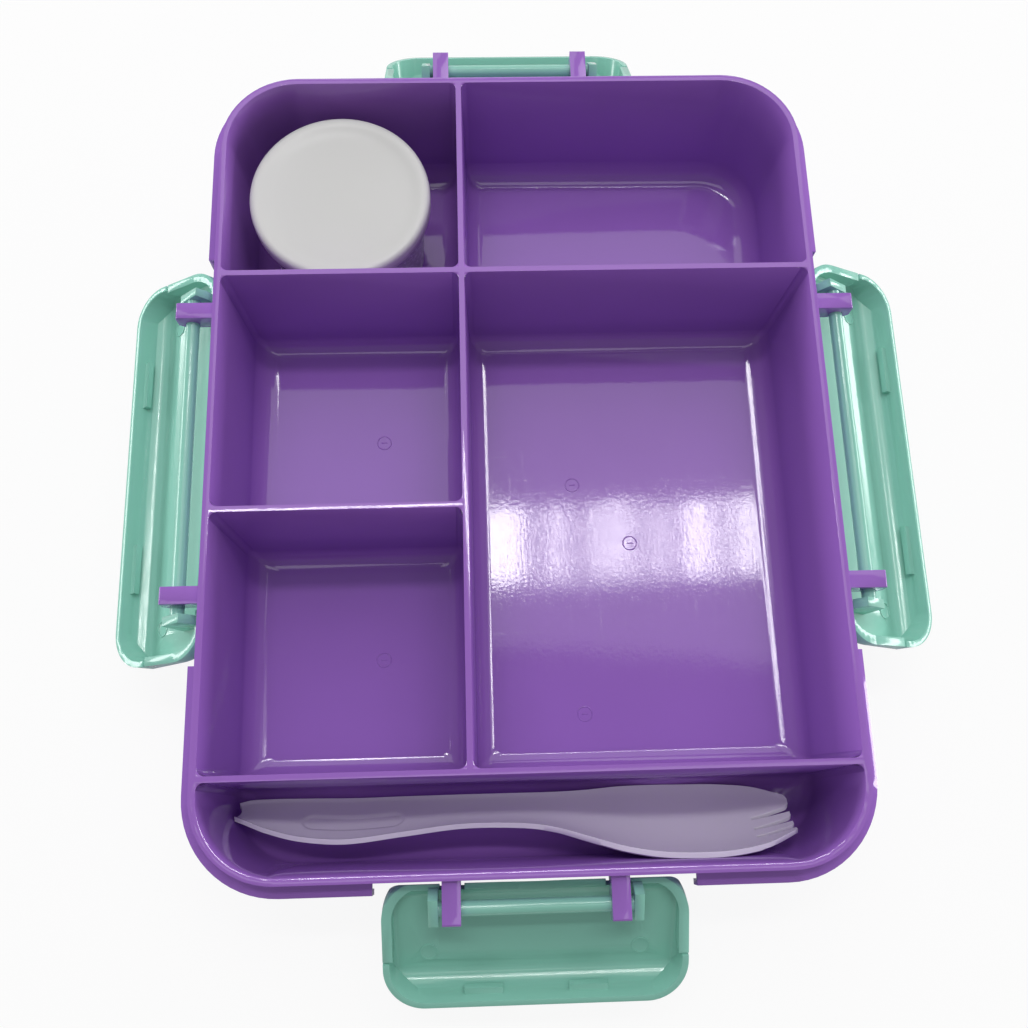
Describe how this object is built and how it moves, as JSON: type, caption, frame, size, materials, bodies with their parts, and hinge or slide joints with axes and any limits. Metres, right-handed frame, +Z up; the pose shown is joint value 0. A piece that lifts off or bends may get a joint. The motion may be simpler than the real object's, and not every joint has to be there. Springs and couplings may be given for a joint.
{
  "type": "bento lunch box",
  "caption": "Open compartment lunch box with fixed dividers, four side latches hinged on moulded arms, a lidded dip cup and a spork.",
  "frame": {"origin": "middle of the box's flat base, under the middle of the rim", "axes": "+Z up out of the open box, +Y toward the back latch, +X toward the right latch; the spork's bay is at -Y"},
  "size_m": [0.2823, 0.3537, 0.058],
  "materials": {
    "box_plastic": "glossy moulded polypropylene, purple",
    "latch_plastic": "glossy moulded polypropylene, mint",
    "cup_plastic": "translucent moulded polypropylene, clear with a violet cast",
    "lid_plastic": "satin moulded polyethylene, white",
    "spork_plastic": "glossy moulded polypropylene, pale lavender white"
  },
  "bodies": {
    "box": {"box": "box_plastic"},
    "left_latch": {"left_latch": "latch_plastic"},
    "right_latch": {"right_latch": "latch_plastic"},
    "front_latch": {"front_latch": "latch_plastic"},
    "back_latch": {"back_latch": "latch_plastic"},
    "dip_cup": {"dip_cup": "cup_plastic"},
    "dip_cup_lid": {"dip_cup_lid": "lid_plastic"},
    "spork": {"spork": "spork_plastic"}
  },
  "joints": [
    {"name": "left_latch_hinge", "type": "hinge", "parent": "box", "child": "left_latch", "pos_m": [-0.11333, -0.001, 0.0502], "axis": [0, 1, 0], "range_deg": [-11, 134]},
    {"name": "right_latch_hinge", "type": "hinge", "parent": "box", "child": "right_latch", "pos_m": [0.11333, -0.001, 0.0502], "axis": [0, -1, 0], "range_deg": [-16, 129]},
    {"name": "front_latch_hinge", "type": "hinge", "parent": "box", "child": "front_latch", "pos_m": [0, -0.14883, 0.0502], "axis": [-1, 0, 0], "range_deg": [-21, 124]},
    {"name": "back_latch_hinge", "type": "hinge", "parent": "box", "child": "back_latch", "pos_m": [0, 0.14883, 0.0502], "axis": [1, 0, 0], "range_deg": [-8, 137]},
    {"name": "cup_lift", "type": "slide", "parent": "box", "child": "dip_cup", "axis": [0, 0, 1], "range_m": [0, 0.08]},
    {"name": "cup_lid_lift", "type": "slide", "parent": "dip_cup", "child": "dip_cup_lid", "axis": [0, 0, 1], "range_m": [0, 0.03]},
    {"name": "spork_lift", "type": "slide", "parent": "box", "child": "spork", "axis": [0, 0, 1], "range_m": [0, 0.08]}
  ]
}
